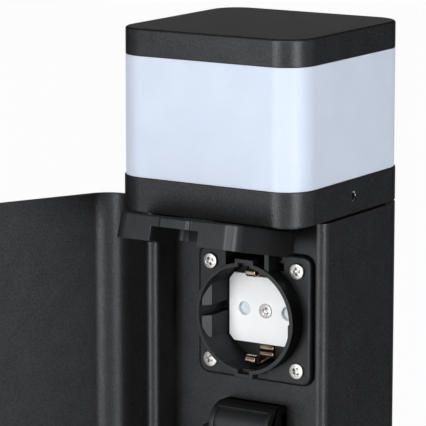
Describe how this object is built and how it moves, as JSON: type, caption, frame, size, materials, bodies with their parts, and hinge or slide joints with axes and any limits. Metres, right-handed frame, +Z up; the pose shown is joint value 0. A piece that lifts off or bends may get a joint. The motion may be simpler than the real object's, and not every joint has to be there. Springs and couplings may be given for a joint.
{
  "type": "bollard light with socket",
  "caption": "Square bollard light: column on a foot plate, hinged front cover over earthed sockets with sprung lids, and a lamp head with an opal tube under a flat cap.",
  "frame": {"origin": "on the ground, under the middle of the column", "axes": "+Z up, -Y to the front with the sockets, +X to the viewer's right"},
  "size_m": [0.1499, 0.1352, 0.45],
  "materials": {
    "coated_metal": "fine textured powder coat, matt",
    "zinc_steel": "galvanised",
    "steel": "bright",
    "black_plastic": "fine grain",
    "white_plastic": "smooth",
    "pale_plastic": "smooth, blue grey",
    "opal_plastic": "opal, satin",
    "rubber_black": "matt",
    "bronze": "bright bronze",
    "brass": "plain",
    "bare_aluminium": "milled",
    "board_white": "solder mask",
    "chip_yellow": "resin",
    "grey_plastic": "fine grain",
    "nickel": "nickel plated"
  },
  "bodies": {
    "column": {"base_plate": "zinc_steel", "base_screws": "steel", "cable_grommet": "rubber_black", "column_profile": "coated_metal", "hinge_rod": "steel", "catch_holder": "black_plastic", "catch_magnet": "nickel", "head_mount": "bare_aluminium", "head_mount_screws": "steel", "lamp_base_ring": "coated_metal", "ring_grub_screws": "steel", "diffuser": "opal_plastic", "diffuser_gasket": "rubber_black", "cap_gasket": "rubber_black", "lamp_cap": "coated_metal", "head_tie_screws": "steel", "led_carrier": "bare_aluminium", "led_boards": "board_white", "led_chips": "chip_yellow", "led_driver": "grey_plastic", "terminal_block": "grey_plastic", "terminal_screws": "steel", "earth_stud": "brass", "upper_bezel": "black_plastic", "upper_gasket": "rubber_black", "upper_flange_screws": "steel", "upper_insert_plate": "white_plastic", "upper_insert_screw": "steel", "upper_contact_carrier": "black_plastic", "upper_contact_sleeves": "brass", "upper_earth_clip": "bronze", "upper_rear_housing": "black_plastic", "upper_lid_pin": "steel", "lower_bezel": "black_plastic", "lower_gasket": "rubber_black", "lower_flange_screws": "steel", "lower_insert_plate": "white_plastic", "lower_insert_screw": "steel", "lower_contact_carrier": "black_plastic", "lower_contact_sleeves": "brass", "lower_earth_clip": "bronze", "lower_rear_housing": "black_plastic", "lower_lid_pin": "steel"},
    "cover": {"front_cover": "coated_metal", "catch_strike": "zinc_steel"},
    "upper_lid_body": {"upper_lid": "black_plastic"},
    "lower_lid_body": {"lower_lid": "black_plastic"},
    "upper_shutter_body": {"upper_shutter": "pale_plastic"},
    "lower_shutter_body": {"lower_shutter": "pale_plastic"}
  },
  "joints": [
    {"name": "cover_hinge", "type": "hinge", "parent": "column", "child": "cover", "pos_m": [-0.0397, -0.0134, 0.198], "axis": [0, 0, 1], "range_deg": [0, 116.4]},
    {"name": "upper_lid_hinge", "type": "hinge", "parent": "column", "child": "upper_lid_body", "pos_m": [0, -0.0084, 0.3681], "axis": [1, 0, 0], "range_deg": [0, 103]},
    {"name": "lower_lid_hinge", "type": "hinge", "parent": "column", "child": "lower_lid_body", "pos_m": [0, -0.0084, 0.2981], "axis": [1, 0, 0], "range_deg": [-25, 0]},
    {"name": "upper_shutter_turn", "type": "hinge", "parent": "column", "child": "upper_shutter_body", "pos_m": [0, 0.00615, 0.34], "axis": [0, 1, 0], "range_deg": [0, 40], "stiffness_Nm_per_rad": 0.002},
    {"name": "lower_shutter_turn", "type": "hinge", "parent": "column", "child": "lower_shutter_body", "pos_m": [0, 0.00615, 0.27], "axis": [0, 1, 0], "range_deg": [0, 40], "stiffness_Nm_per_rad": 0.002}
  ],
  "couplings": [
    {"joint": "upper_lid_hinge", "follows": "cover_hinge", "ratio": 0.8848}
  ]
}
